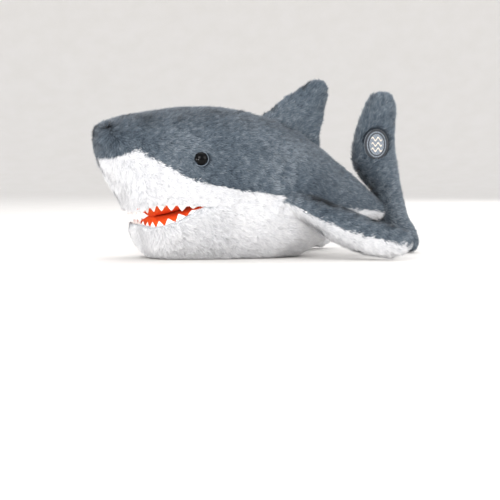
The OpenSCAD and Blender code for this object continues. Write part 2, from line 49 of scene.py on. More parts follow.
# ---- Sizes, as in the part ----
BODY_LENGTH, BODY_WIDTH, BODY_HEIGHT = 296.0, 134.0, 148.0
BELLY_CENTRE = 140.0
COVER = 5.0
MOUTH_DEPTH, MOUTH_HEIGHT, MOUTH_GAPE = 95.0, 52.0, 21.0
TOOTH_T, TOOTH_HEIGHT = 1.8, 7.0
EYE_D, EYE_DOME, EYE_BACK, EYE_HEIGHT = 15.0, 5.5, 92.0, 97.0
LIP_FRONT, CHIN_FRONT = 0.31, 0.375
SEAM_GAP = 0.3
FOOT_GAP = 1.2
BELLY_POWER = 0.82
DORSAL_BACK, DORSAL_CHORD, DORSAL_SPAN, DORSAL_THICK = 168.0, 70.0, 56.0, 22.0
FLIPPER_BACK, FLIPPER_CHORD, FLIPPER_SPAN, FLIPPER_THICK, FLIPPER_SAG = 168.0, 68.0, 78.0, 36.0, 7.0
FLIPPER_FRONT_HEIGHT, FLIPPER_REAR_HEIGHT = 57.0, 39.0
TAIL_CHORD, TAIL_HEIGHT, TAIL_THICK = 80.0, 165.0, 28.0
BADGE_W, BADGE_H = 26.0, 31.0

# ---- Sizes of the cloth and the pile ----
# The pile's backing lies this far inside the cover's outside, on the body and on the fins
PILE_DEPTH, FIN_DEPTH = 2.6, 2.2
# The backing and the pile come no nearer to the table than this
BACKING_FLOOR, PILE_FLOOR = 0.9, 0.3
# A sliver's root lies this far inside the backing
ROOT_DEPTH = 0.5
# The cloth's mesh size, frames and pressure, and how far a point may move
CLOTH_MESH, CLOTH_FRAMES, CLOTH_PRESSURE, CLOTH_CAP = 4.0, 20, 4.0, 2.0
# The linings' rims lie this far behind the cover, hidden by the turned-in lips
LINING_TUCK = 3.0
# The front teeth's pitch
TOOTH_PITCH = 7.5

# Rows from the nose to just inside the tail fin: shares of length, height and half width
# [along, top, bottom, half width, height of the widest point, height of the grey and white seam]
BODY_ROWS = np.array([
    [0.000, 0.805, 0.745, 0.00, 0.775, 0.690],
    [0.009, 0.862, 0.685, 0.22, 0.772, 0.680],
    [0.024, 0.892, 0.600, 0.36, 0.758, 0.675],
    [0.050, 0.911, 0.497, 0.50, 0.730, 0.685],
    [0.081, 0.930, 0.400, 0.60, 0.690, 0.705],
    [0.105, 0.942, 0.310, 0.66, 0.650, 0.715],
    [0.142, 0.957, 0.120, 0.73, 0.600, 0.680],
    [0.186, 0.973, 0.020, 0.80, 0.570, 0.620],
    [0.253, 0.990, -0.034, 0.88, 0.540, 0.545],
    [0.338, 1.001, -0.047, 0.95, 0.500, 0.488],
    [0.422, 1.000, -0.054, 0.985, 0.460, 0.463],
    [0.507, 0.978, -0.054, 1.00, 0.425, 0.440],
    [0.591, 0.930, -0.040, 0.98, 0.405, 0.400],
    [0.676, 0.860, 0.000, 0.89, 0.390, 0.362],
    [0.743, 0.782, 0.060, 0.76, 0.382, 0.340],
    [0.804, 0.694, 0.120, 0.62, 0.372, 0.330],
    [0.858, 0.612, 0.168, 0.49, 0.360, 0.322],
    [0.912, 0.524, 0.205, 0.36, 0.345, 0.318],
    [0.960, 0.446, 0.228, 0.25, 0.328, 0.310],
    [1.000, 0.385, 0.240, 0.18, 0.312, 0.290],
    [1.034, 0.360, 0.262, 0.15, 0.308, 0.290],
])
LAST_ROW = len(BODY_ROWS) - 1.0


# ---- Arithmetic ----
def mix(a, b, f):
    """a + (b - a) f."""
    return a + (b - a) * f


def ease(f):
    """3f^2 - 2f^3 with f held between 0 and 1."""
    f = np.clip(f, 0.0, 1.0)
    return f * f * (3 - 2 * f)


def unit(v):
    """Each vector divided by its length."""
    return v / np.maximum(np.linalg.norm(v, axis=-1, keepdims=True), 1e-9)


def signed_power(v, p):
    """The sign of v times |v| to the power p."""
    return np.sign(v) * np.abs(v) ** p


def soft_noise(p, size, seed, waves=18):
    """Half the sum of sine waves about size millimetres long, in random directions, over the root of half
    their number: smooth, and mostly between -1 and 1."""
    rng = np.random.default_rng(seed)
    k = unit(rng.normal(size=(waves, 3))) * rng.uniform(0.6, 1.5, (waves, 1)) * 2 * math.pi / size
    phase = rng.uniform(0, 2 * math.pi, waves)
    return 0.5 * np.sin(p @ k.T + phase).sum(axis=-1) / math.sqrt(waves / 2)


def row_at(rows, t):
    """The row at position t, on a Catmull-Rom curve through the rows."""
    last = len(rows) - 1
    i = np.clip(np.floor(t).astype(int), 0, last - 1)
    f = (t - i)[..., None]
    a, b = rows[np.maximum(i - 1, 0)], rows[i]
    c, d = rows[i + 1], rows[np.minimum(i + 2, last)]
    square, cube = 2 * a - 5 * b + 4 * c - d, 3 * b - a - 3 * c + d
    return 0.5 * (2 * b + (c - a) * f + square * f ** 2 + cube * f ** 3)


ROW_STEPS = np.linspace(0, LAST_ROW, 4001)
ROW_BACKS = row_at(BODY_ROWS, ROW_STEPS)[:, 0] * BODY_LENGTH


def row_of(back):
    """The row position at a distance behind the nose tip."""
    return np.interp(back, ROW_BACKS, ROW_STEPS)


# ---- Body surface ----
def raw_skin(t, angle):
    """Along the body by row, then round it: y = -half width * sin, z = widest height + cos * reach,
    with both raised to BELLY_POWER on the lower half. Angle 0 is the spine, 90 the left flank."""
    t, angle = np.broadcast_arrays(np.asarray(t, float), np.asarray(angle, float))
    r = row_at(BODY_ROWS, t)
    s, c = np.sin(np.radians(angle)), np.cos(np.radians(angle))
    p = np.where(c < 0, BELLY_POWER, 1.0)
    reach = np.where(c < 0, r[..., 4] - r[..., 2], r[..., 1] - r[..., 4])
    return np.stack([r[..., 0] * BODY_LENGTH - BELLY_CENTRE,
                     -signed_power(s, p) * r[..., 3] * BODY_WIDTH / 2,
                     BODY_HEIGHT * (r[..., 4] + signed_power(c, p) * reach)], axis=-1)


def skin_normal(t, angle):
    """The outward cross product of the surface's steps round and along."""
    t, angle = np.broadcast_arrays(np.asarray(t, float), np.asarray(angle, float))
    t = np.clip(t, 0.02, LAST_ROW - 0.02)
    angle = np.where(np.abs(angle - 180) < 3, 180.0, angle)
    along = raw_skin(t + 0.02, angle) - raw_skin(t - 0.02, angle)
    around = raw_skin(t, angle + 1.5) - raw_skin(t, angle - 1.5)
    return unit(np.cross(around, along))


def angle_at(t, z):
    """The angle on the left side at which the surface is at height z: the inverse of raw_skin."""
    t, z = np.broadcast_arrays(np.asarray(t, float), np.asarray(z, float))
    r = row_at(BODY_ROWS, t)
    f = z / BODY_HEIGHT
    low = np.clip((r[..., 4] - f) / (r[..., 4] - r[..., 2]), 0, 1) ** (1 / BELLY_POWER)
    high = np.clip((f - r[..., 4]) / (r[..., 1] - r[..., 4]), 0, 1)
    a = np.where(f < r[..., 4], 180 - np.degrees(np.arccos(low)), np.degrees(np.arccos(high)))
    return np.where(f <= r[..., 2], 180.0, a)


def seam_angle(t):
    """The angle of the grey and white seam."""
    return angle_at(t, row_at(BODY_ROWS, np.asarray(t, float))[..., 5] * BODY_HEIGHT)


def crumple(p):
    """Outward folds of the back panel ahead of the pectoral fin's root: cosine ridges 3 mm high that fan
    out from the root and fade over 30 mm, plus slow dents of half a millimetre."""
    side = np.where(p[..., 1] < 0, -1.0, 1.0)
    d = p - np.stack([np.full(p.shape[:-1], 36.0), side * 62, np.full(p.shape[:-1], 66.0)], axis=-1)
    reach = np.sqrt(d[..., 0] ** 2 + (d[..., 2] * 0.8) ** 2)
    turn = np.arctan2(d[..., 2], -d[..., 0])
    fade = np.exp(-(reach / 30) ** 2) * ease(reach / 8) * ease((28 - d[..., 0]) / 20)
    ridge = 0.5 + 0.5 * np.cos(turn * 7 + 1.6 * soft_noise(p, 30, 5))
    return 3.0 * fade * ridge + 0.5 * soft_noise(p, 34, 6)


def skin(t, angle, depth=PILE_DEPTH, lumps=1.0):
    """The body surface moved inwards by depth, lumped, and pressed flat where it lies on the table."""
    q = raw_skin(t, angle)
    q = q - (depth - lumps * crumple(q))[..., None] * skin_normal(t, angle)
    q[..., 2] = np.maximum(q[..., 2], BACKING_FLOOR)
    return q


def depth_in_body(p):
    """How far a point lies inside the body's section at its own x, in millimetres. Negative is outside."""
    r = row_at(BODY_ROWS, row_of(p[:, 0] + BELLY_CENTRE))
    across = np.abs(p[:, 1]) / (r[:, 3] * BODY_WIDTH / 2 + 1e-6)
    z = p[:, 2] / BODY_HEIGHT - r[:, 4]
    up = np.where(z < 0, -z / (r[:, 4] - r[:, 2]), z / (r[:, 1] - r[:, 4]))
    k = np.where(z < 0, 2 / BELLY_POWER, 2.0)
    share = (across ** k + np.abs(up) ** k) ** (1 / k)
    return (1 - share) * np.hypot(p[:, 1], z * BODY_HEIGHT) / np.maximum(share, 0.05)


# ---- Mouth ----
def mouth_share(x):
    """0 at the nose tip, 1 at the corner of the mouth."""
    return (x + BELLY_CENTRE) / MOUTH_DEPTH


def upper_lip(x):
    """Height of the upper lip: a sine swell behind its middle, and an eased fall towards the front."""
    f = mouth_share(x)
    return MOUTH_HEIGHT + 2.5 * np.sin(np.pi * np.clip((f - 0.4) / 0.6, 0, 1)) - 4 * ease((0.55 - f) / 0.25)


def lower_lip(x):
    """Height of the lower lip: a quarter sine down to the gape, with an eased rise at the chin."""
    f = mouth_share(x)
    drop = MOUTH_GAPE * np.sin(np.pi / 2 * np.clip((1 - f) / 0.5, 0, 1))
    return MOUTH_HEIGHT - 1 - drop + 3 * ease((0.5 - f) / 0.12)


def crease(x):
    """Height at which the roof and the floor of the mouth meet."""
    f = mouth_share(x)
    return mix(upper_lip(x), lower_lip(x), 0.56 * np.sin(np.pi / 2 * np.clip((1 - f) / 0.2, 0, 1)))


def meeting(x):
    """0 at the open front, 1 where the two pads touch."""
    return ease((mouth_share(x) - 0.44) / 0.17)


def bulge(v):
    """(1 - v^2) to the power 0.8."""
    return np.maximum(0, 1 - v * v) ** 0.8


def roof_z(x, v):
    """The roof of the mouth: the lip's height, less the way down to the crease times the bulge."""
    return upper_lip(x) - (upper_lip(x) - crease(x) - SEAM_GAP) * meeting(x) * bulge(v)


def floor_z(x, v):
    """The floor of the mouth: the lip's height, plus the way up to the crease times the bulge."""
    return lower_lip(x) + (crease(x) - SEAM_GAP - lower_lip(x)) * meeting(x) * bulge(v)


def lip_angle(t):
    """The angle of the upper lip."""
    return angle_at(t, upper_lip(raw_skin(t, 90)[..., 0]))


def chin_angle(t):
    """The angle of the lower lip."""
    return angle_at(t, lower_lip(raw_skin(t, 90)[..., 0]))


HINGE_ROW = float(row_of(MOUTH_DEPTH))
LIP_ROW = float(row_of(LIP_FRONT * MOUTH_DEPTH))
CHIN_ROW = float(row_of(CHIN_FRONT * MOUTH_DEPTH))
JOIN_ROW = float(row_of(118.0))

# ---- Stuffed flat pieces ----
# Rows out from the root: shares of the chord and the span at the front edge, then at the rear edge.
# The tail fin's lower front edge stands a few millimetres ahead of the part's, so that it meets the stem.
DORSAL_ROWS = np.array([[0, 0, 1, 0], [0.12, 0.28, 0.93, 0.28], [0.24, 0.52, 0.87, 0.52],
                        [0.36, 0.76, 0.80, 0.77], [0.45, 0.92, 0.74, 0.93], [0.54, 1, 0.66, 1]])
FLIPPER_ROWS = np.array([[0, 0, 1, 0], [0.30, 0.20, 1.18, 0.22], [0.62, 0.42, 1.34, 0.46],
                         [0.96, 0.65, 1.48, 0.69], [1.26, 0.86, 1.58, 0.88], [1.46, 0.98, 1.57, 0.98]])
TAIL_ROWS = np.array([[0.78, 0.01, 0.92, 0], [0.61, 0.07, 0.99, 0.05], [0.49, 0.14, 0.94, 0.13],
                      [0.39, 0.22, 0.83, 0.21], [0.33, 0.35, 0.75, 0.34], [0.16, 0.45, 0.71, 0.44],
                      [0.02, 0.55, 0.68, 0.54], [0.00, 0.66, 0.64, 0.65], [0.07, 0.78, 0.63, 0.78],
                      [0.18, 0.90, 0.63, 0.90], [0.28, 0.98, 0.55, 0.98], [0.36, 1, 0.45, 1]])


class Stuffed:
    """A sewn and stuffed flat piece: its outline rows, size, and place. Local z is its thickness."""

    def __init__(self, rows, chord, span, thick, ends, sag, origin, x, y, foot):
        self.rows, self.chord, self.span, self.thick = rows, chord, span, thick
        self.ends, self.sag, self.foot = ends, sag, foot
        self.origin = np.asarray(origin, float)
        self.axes = np.stack([x, y, np.cross(x, y)])

    def surface(self, u, v, side, depth):
        """Across by u, out by v: the outline row, drawn in by depth at each side and at each free end; the
        height is the half thickness times a round arc at each end times (1 - (2u - 1)^2) to the power 0.55,
        plus the sag. Below v = 0 the outline goes straight on into the body."""
        last = len(self.rows) - 1
        r = row_at(self.rows, np.clip(v, 0, 1) * last)
        r = r + np.minimum(v, 0)[..., None] * last * (self.rows[1] - self.rows[0])
        middle = row_at(self.rows, np.array([last / 2]))[0]
        width = (middle[2] - middle[0]) * self.chord
        ends = 1 if self.foot else 2
        shrink = np.array([1 - 2 * depth / width, 1 - ends * depth / self.span])
        centre = np.array([(middle[0] + middle[2]) / 2, 0.0 if self.foot else 0.5])
        q = centre + (mix(r[..., 0:2], r[..., 2:4], u[..., None]) - centre) * shrink
        a = (1 - np.clip(v / self.ends[0], 0, 1)) * (0.0 if self.foot else 1.0)
        b = 1 - np.clip((1 - v) / self.ends[1], 0, 1)
        rise = np.sqrt(np.maximum(0, 1 - a * a) * np.maximum(0, 1 - b * b))
        rise = rise * np.maximum(0, 1 - (2 * u - 1) ** 2) ** 0.55
        if self.foot:
            rise = rise * mix(self.foot, 1, ease(v / 0.35))
        sag = self.sag * np.sin(np.pi * np.clip(q[..., 1], 0, 1))
        return np.stack([q[..., 0] * self.chord, q[..., 1] * self.span,
                         side * rise * (self.thick / 2 - depth) + sag], axis=-1)

    def place(self, p):
        """Local millimetres to the shared frame."""
        return self.origin + p @ self.axes

    def local(self, p):
        """The shared frame to local millimetres."""
        return (p - self.origin) @ self.axes.T


def spine(back):
    """The point of the back's ridge at a distance behind the nose tip."""
    return raw_skin(row_of(back), 0.0)


def lift_over(points, origin, out):
    """How far the fin's foot stands out so that it clears the cover it is sewn to."""
    return FOOT_GAP + max(0.0, float(((points - origin) @ out).max()))


dorsal_foot = spine(DORSAL_BACK)
dorsal_x = unit(spine(DORSAL_BACK + 0.89 * DORSAL_CHORD) - dorsal_foot)
dorsal_y = np.array([-dorsal_x[2], 0, dorsal_x[0]])
shares = np.arange(0, 0.95, 0.1)
dorsal_lift = lift_over(spine(DORSAL_BACK + shares * DORSAL_CHORD), dorsal_foot, dorsal_y)
DORSAL = Stuffed(DORSAL_ROWS, DORSAL_CHORD, DORSAL_SPAN, DORSAL_THICK, (0.19, 0.25), 0.0,
                 dorsal_foot + dorsal_lift * dorsal_y, dorsal_x, dorsal_y, 0.9)


def flank(f):
    """A point of the pectoral fin's root line, f of the way along it."""
    t = row_of(FLIPPER_BACK + f * FLIPPER_CHORD)
    return raw_skin(t, angle_at(t, mix(FLIPPER_FRONT_HEIGHT, FLIPPER_REAR_HEIGHT, f)))


flipper_x = unit(flank(0.9) - flank(0.0))
flipper_y = np.array([0.10, -0.94, -0.14])
flipper_y = unit(flipper_y - (flipper_y @ flipper_x) * flipper_x)
flipper_lift = lift_over(flank(shares), flank(0.0), flipper_y)
FLIPPER = Stuffed(FLIPPER_ROWS, FLIPPER_CHORD, FLIPPER_SPAN, FLIPPER_THICK, (0.25, 0.42), FLIPPER_SAG,
                  flank(0.0) + flipper_lift * flipper_y, flipper_x, flipper_y, 0.72)
TAIL = Stuffed(TAIL_ROWS, TAIL_CHORD, TAIL_HEIGHT, TAIL_THICK, (0.14, 0.14), 0.0,
               [BODY_LENGTH - BELLY_CENTRE + 2 - 0.42 * TAIL_CHORD, 0, 0.3],
               np.array([1.0, 0, 0]), np.array([0, 0, 1.0]), 0)
BADGE_AT = np.array([0.29 * TAIL_CHORD, 0.675 * TAIL_HEIGHT])


# ---- Meshes ----
def linear(hex_colour):
    """An sRGB hex colour as linear red, green, blue and 1."""
    c = [int(hex_colour[i:i + 2], 16) / 255 for i in (1, 3, 5)]
    return [v / 12.92 if v <= 0.04045 else ((v + 0.055) / 1.055) ** 2.4 for v in c] + [1.0]


def build(name, points, faces, uv=None, normals=None, materials=(), slots=None):
    """A mesh object from millimetre points and one array of corner numbers for each kind of face.
    uv has one pair for each corner, and slots one material number for each face."""
    mesh = bpy.data.meshes.new(name)
    sizes = np.concatenate([np.full(len(f), f.shape[1]) for f in faces])
    corners = np.concatenate([f.ravel() for f in faces])
    mesh.vertices.add(len(points))
    mesh.vertices.foreach_set("co", (np.asarray(points) * 0.001).astype(np.float32).ravel())
    mesh.loops.add(len(corners))
    mesh.loops.foreach_set("vertex_index", corners.astype(np.int32))
    mesh.polygons.add(len(sizes))
    mesh.polygons.foreach_set("loop_start", np.concatenate([[0], np.cumsum(sizes)[:-1]]).astype(np.int32))
    if slots is not None:
        mesh.polygons.foreach_set("material_index", slots.astype(np.int32))
    mesh.update(calc_edges=True)
    if uv is not None:
        layer = mesh.uv_layers.new(name="OFBake")
        layer.data.foreach_set("uv", uv.astype(np.float32).ravel())
    mesh.polygons.foreach_set("use_smooth", np.ones(len(sizes), bool))
    if normals is not None:
        mesh.normals_split_custom_set_from_vertices(normals.astype(np.float32))
    for m in materials:
        mesh.materials.append(m)
    obj = bpy.data.objects.new(name, mesh)
    scene.collection.objects.link(obj)
    return obj


def grid_quads(ni, nj, start=0, wrap=False):
    """Corner numbers of the quads between ni rows of nj points."""
    i, j = np.meshgrid(np.arange(ni - 1), np.arange(nj if wrap else nj - 1), indexing="ij")
    k = (j + 1) % nj
    corners = [i * nj + j, (i + 1) * nj + j, (i + 1) * nj + k, i * nj + k]
    return start + np.stack(corners, axis=-1).reshape(-1, 4)


class Panel:
    """A piece of backing to grow pile on: points, quads, triangles, outward normals, and for each point
    the share of its pile's full length."""

    def __init__(self, points, quads, long=None):
        self.points = points
        self.quads = quads
        self.tris = np.concatenate([quads[:, [0, 1, 2]], quads[:, [0, 2, 3]]])
        a, b, c = (points[self.tris[:, i]] for i in range(3))
        n = np.cross(b - a, c - a)
        self.area = np.linalg.norm(n, axis=1) / 2
        total = np.zeros_like(points)
        for i in range(3):
            np.add.at(total, self.tris[:, i], n)
        self.normals = unit(total)
        self.long = np.ones(len(points)) if long is None else long


def lip_roll(t, a, lip, way, front):
    """The lip's edge turned in: from the pile's backing to 8 mm deep in 6 steps, its height going from the
    panel's to the lip's with a half-sine swell of 1.3 mm. It fades out ahead of the lip and at the corner."""
    k = np.linspace(0, 1, 7)[None, 1:]
    size = (ease((t - front) / 0.5) * ease((HINGE_ROW + 0.1 - t) / 0.5))[:, None]
    p = skin(t[:, None], a[:, None], PILE_DEPTH + 5.4 * k * size, 0.0)
    edge = skin(t, a)[:, None, 2]
    p[..., 2] = mix(edge, mix(edge, lip(p[..., 0]), size), k) + way * 1.3 * np.sin(np.pi * k) * size
    return p


def body_panel(ni, nj, t_of, a_of, long_of=None, sides=1, rolls=()):
    """A panel of the body's skin: rows by t_of(u), angles by a_of(t, v), the pile's length by
    long_of(t, a). Mirrored when sides is -1. Each roll turns in the first or last column at a lip."""
    u, v = np.meshgrid(np.linspace(0, 1, ni), np.linspace(0, 1, nj), indexing="ij")
    t = t_of(u)
    a = a_of(t, v)
    p = skin(t, a)
    long = np.ones((ni, nj)) if long_of is None else long_of(t, a)
    for column, lip, way, front in rolls:
        strip = lip_roll(t[:, column], a[:, column], lip, way, front)
        hem = np.full(strip.shape[:2], 0.3)
        if column == 0:
            p = np.concatenate([strip[:, ::-1], p], axis=1)
            long = np.concatenate([hem, long], axis=1)
        else:
            p = np.concatenate([p, strip], axis=1)
            long = np.concatenate([long, hem], axis=1)
    quads = grid_quads(ni, p.shape[1])
    long = long.ravel()
    p = p.reshape(-1, 3)
    if sides < 0:
        p = p * [1, -1, 1]
    else:
        quads = quads[:, ::-1]
    return Panel(p, quads, long)


def down_in_front(lay, n):
    """The lay, turned downwards where the surface faces forwards."""
    return mix(lay, np.array([0.1, 0, -1.0]), ease((-n[:, 0:1] - 0.15) / 0.6))


def lay_back(p, n):
    """The pile is brushed backwards and a little down."""
    return down_in_front(np.array([1.0, 0, -0.42]), n)


def grow(name, panel, material, lay, seed, density=3.6, length=6.6, lean=63, bare=None, tone=None):
    """The backing and its pile as one piece. Each blade of pile is a bundle of fibres: a tapered sliver
    rooted just inside the backing at a random place, leaning by about the lean angle from the surface's
    normal towards the lay. Smooth noise turns the lay, so that neighbours fall into tufts. Each sliver is
    shaded mostly by the surface's own normal, rolled a little to either side.
    The map's u is the tone, and its v runs from the root to the tip; the backing under full pile takes the
    root's painted shade, and clipped backing is as pale as a tip."""
    rng = np.random.default_rng(seed)
    count = int(panel.area.sum() * density)
    pick = rng.choice(len(panel.tris), count, p=panel.area / panel.area.sum())
    w = rng.dirichlet((1, 1, 1), count)
    corner = panel.tris[pick]
    root = np.einsum("ij,ijk->ik", w, panel.points[corner])
    n = unit(np.einsum("ij,ijk->ik", w, panel.normals[corner]))
    long = np.einsum("ij,ij->i", w, panel.long[corner])
    keep = long > 0.12
    if bare is not None:
        keep &= ~bare(root)
    root, n, long = root[keep], n[keep], long[keep]
    count = len(root)
    along = lay(root, n) + 0.3 * np.stack([soft_noise(root, 8, seed + s) for s in (1, 2, 3)], axis=-1)
    along = along + 0.3 * np.stack([soft_noise(root, 30, seed + s) for s in (4, 5, 6)], axis=-1)
    along = along + rng.normal(0, 0.18, (count, 3))
    along = unit(along - (along * n).sum(axis=1, keepdims=True) * n)
    across = np.cross(along, n)
    tuft = soft_noise(root, 6.0, seed + 7)
    reach = (length * long * (1 + 0.14 * tuft) * rng.uniform(0.75, 1.15, count))[:, None]
    a = np.radians(np.minimum(lean + 6 * tuft + rng.normal(0, 7, count), 80))[:, None]
    way = n * np.cos(a) + along * np.sin(a)
    front = n * np.sin(a) - along * np.cos(a)
    root = root - ROOT_DEPTH * n
    tip = root + reach * way
    half = rng.uniform(0.42, 0.6, count)[:, None] * across
    blades = np.stack([root - half, root + half, tip], axis=1)
    blades[..., 2] = np.maximum(blades[..., 2], PILE_FLOOR)
    roll = across * rng.uniform(-0.5, 0.5, count)[:, None]
    turned = np.broadcast_to(unit(n + 0.3 * front + roll)[:, None], (count, 3, 3))
    u = 0.5 + 0.15 * soft_noise(root, 70, seed + 8) + 0.2 * tuft + rng.normal(0, 0.17, count)
    if tone is not None:
        u = u + tone(root)
    u = np.clip(u, 0.02, 0.98)
    slivers = len(panel.points) + np.arange(3 * count).reshape(-1, 3)
    sliver_u = np.stack([u - 0.007, u + 0.007, u], 1)
    sliver_uv = np.stack([sliver_u, np.full((count, 3), [0.02, 0.02, 0.98])], -1)
    q = panel.quads
    skin_u = np.clip(0.5 + 0.2 * soft_noise(panel.points, 70, seed + 8), 0.02, 0.98)[q]
    # The backing's v: the root's painted shade under full pile, as pale as a tip where the pile is clipped
    backing_shade = mix(0.92, 0.06, ease(panel.long / 0.6))[q]
    skin_uv = np.stack([skin_u + [-0.006, 0.006, 0.006, -0.006], backing_shade + [0, 0, 0.03, 0.03]], -1)
    points = np.concatenate([panel.points, blades.reshape(-1, 3)])
    normals = np.concatenate([panel.normals, turned.reshape(-1, 3)])
    uv = np.concatenate([sliver_uv.reshape(-1, 2), skin_uv.reshape(-1, 2)])
    return build(name, points, [slivers, q], uv, normals, [material])


# ---- Materials ----
def new_material(name):
    """A node material, its Principled shader, and two functions that add a node and feed the shader."""
    m = bpy.data.materials.new(name)
    m.use_nodes = True
    tree = m.node_tree
    shader = tree.nodes["Principled BSDF"]

    def add(kind, settings=(), **links):
        """Adds a node, sets its properties, and feeds each named or numbered input a link or a value."""
        node = tree.nodes.new(kind)
        for key, value in dict(settings).items():
            setattr(node, key, value)
        for key, value in links.items():
            numbered = key[0] == "i" and key[1:].isdigit()
            socket = node.inputs[int(key[1:]) if numbered else key.replace("_", " ")]
            if isinstance(value, bpy.types.NodeSocket):
                tree.links.new(value, socket)
            else:
                socket.default_value = value
        return node

    def feed(socket, source):
        """Links a source to one of the shader's sockets."""
        tree.links.new(source, shader.inputs[socket])

    return m, add, shader, feed


def ramp(node, stops):
    """Sets a colour ramp's stops: (place, hex colour)."""
    while len(node.color_ramp.elements) > 1:
        node.color_ramp.elements.remove(node.color_ramp.elements[0])
    node.color_ramp.elements[0].position = stops[0][0]
    node.color_ramp.elements[0].color = linear(stops[0][1])
    for place, colour in stops[1:]:
        node.color_ramp.elements.new(place).color = linear(colour)


def pile_material(name, tones, shades, roughness, sheen):
    """Polyester pile: u picks the tone of the tuft, and v darkens it towards the root, where less light
    gets in. The sheen is the pale rim that short pile shows at a grazing angle."""
    m, add, shader, feed = new_material(name)
    where = add("ShaderNodeUVMap", {"uv_map": "OFBake"})
    parts = add("ShaderNodeSeparateXYZ", Vector=where.outputs[0])
    tone = add("ShaderNodeValToRGB", Fac=parts.outputs[0])
    ramp(tone, tones)
    shade = add("ShaderNodeValToRGB", Fac=parts.outputs[1])
    ramp(shade, shades)
    both = add("ShaderNodeMix", {"data_type": "RGBA", "blend_type": "MULTIPLY"},
               i0=1.0, i6=tone.outputs[0], i7=shade.outputs[0])
    feed("Base Color", both.outputs[2])
    shader.inputs["Roughness"].default_value = roughness
    shader.inputs["Specular IOR Level"].default_value = 0.25
    shader.inputs["Sheen Weight"].default_value = sheen
    shader.inputs["Sheen Roughness"].default_value = 0.45
    return m


def bumped(name, colours, roughness, size_mm, bump_mm, kind="ShaderNodeTexNoise", sheen=0.0, **settings):
    """A surface whose colour and height follow one texture on Object coordinates, size_mm to a grain."""
    m, add, shader, feed = new_material(name)
    place = add("ShaderNodeTexCoord")
    texture = add(kind, Vector=place.outputs["Object"], Scale=1000.0 / size_mm, **settings)
    value = texture.outputs[0]
    colour = add("ShaderNodeValToRGB", Fac=value)
    ramp(colour, colours)
    feed("Base Color", colour.outputs[0])
    height = add("ShaderNodeBump", Height=value, Strength=0.6, Distance=bump_mm * 0.001)
    feed("Normal", height.outputs[0])
    shader.inputs["Roughness"].default_value = roughness
    shader.inputs["Sheen Weight"].default_value = sheen
    return m


# Grey-blue minky: a short dense knitted pile with a soft pale bloom
GREY_PILE = pile_material("grey_polyester_pile",
                          [(0.0, "#3c4651"), (0.35, "#56626e"), (0.65, "#6a7681"), (1.0, "#99a2aa")],
                          [(0.0, "#585c61"), (0.45, "#b6b9bc"), (0.85, "#ffffff")], 0.8, 0.25)
# White minky, a little longer: bright tips, greyed towards the root and on the backing by painted shade
WHITE_PILE = pile_material("white_polyester_pile",
                           [(0.0, "#d9dbde"), (0.4, "#ececee"), (1.0, "#fbfbfb")],
                           [(0.0, "#b4b7bb"), (0.4, "#e2e3e5"), (0.85, "#ffffff")], 0.85, 0.15)
# Orange brushed tricot lining: a matt, even cloth with its knit grain drawn at 2.4 mm, coarse enough to show
LINING = bumped("orange_tricot_lining", [(0.3, "#e5530d"), (0.7, "#f4661c")], 0.85, 2.4, 0.12)
# Wool-blend felt: matted fibres about 1 mm apart
FELT = bumped("white_wool_felt", [(0.3, "#e6e4de"), (0.7, "#f8f7f3")], 0.9, 1.8, 0.15, sheen=0.3)
# Injection-moulded eye: black acrylic polished on its dome
EYE_BLACK = bumped("black_polished_acrylic", [(0.0, "#020203"), (1.0, "#050506")], 0.03, 6.0, 0.0)
EYE_BLACK.node_tree.nodes["Principled BSDF"].inputs["Specular IOR Level"].default_value = 0.14
# The eye's rim: smoke-grey acrylic with a duller face
EYE_RIM = bumped("grey_moulded_acrylic", [(0.3, "#5f6a75"), (0.7, "#6e7984")], 0.35, 3.0, 0.02)
# Polyester wadding: loose white fibres in 4 mm tufts
WADDING = bumped("polyester_fibre_wadding", [(0.2, "#dedfe0"), (0.8, "#ffffff")], 0.95, 4.0, 1.2)
# Nylon lock washer, cream white and slightly waxy
WASHER = bumped("natural_nylon", [(0.3, "#e9e6db"), (0.7, "#f3f1e8")], 0.45, 1.5, 0.02)
# Cotton muslin bag: a plain weave of 0.8 mm threads drawn at 1.6 mm
MUSLIN = bumped("cotton_muslin", [(0.3, "#ddd5c0"), (0.7, "#efe9d9")], 0.9, 1.6, 0.1)
# Polyethylene pellets, about 3 mm across, each darkened from its middle towards the gaps between pellets by
# painted shade
PELLETS = bumped("polyethylene_pellets", [(0.0, "#f4f2ea"), (0.6, "#b9b5a8")], 0.5, 3.0, 0.6,
                 kind="ShaderNodeTexVoronoi")
# Badge twill: close diagonal ribs, 1 mm apart
BADGE_TWILL, add, shader, feed = new_material("grey_badge_twill")
place = add("ShaderNodeTexCoord")
turned_place = add("ShaderNodeMapping", Vector=place.outputs["Object"], Rotation=(0, math.radians(40), 0))
ribs = add("ShaderNodeTexWave", {"bands_direction": "X"}, Vector=turned_place.outputs[0],
           Scale=1000 / 6.28, Distortion=0.4)
rib_tone = add("ShaderNodeValToRGB", Fac=ribs.outputs["Fac"])
ramp(rib_tone, [(0.2, "#6f7781"), (0.8, "#8b939c")])
feed("Base Color", rib_tone.outputs[0])
rib_bump = add("ShaderNodeBump", Height=ribs.outputs["Fac"], Strength=0.5, Distance=0.00015)
feed("Normal", rib_bump.outputs[0])
shader.inputs["Roughness"].default_value = 0.7
# Rayon embroidery thread: 0.4 mm strands with a soft lustre
DARK_THREAD = bumped("dark_rayon_thread", [(0.3, "#151a21"), (0.7, "#252c36")], 0.45, 0.8, 0.08, sheen=0.3)
CREAM_THREAD = bumped("cream_rayon_thread", [(0.3, "#e6d8c6"), (0.7, "#f6ecdd")], 0.45, 0.8, 0.08, sheen=0.3)


# ---- Body pieces ----
eye_row = float(row_of(EYE_BACK))
eye_angle = float(angle_at(eye_row, EYE_HEIGHT))
eye_at = raw_skin(eye_row, eye_angle)
eye_out = skin_normal(eye_row, eye_angle)


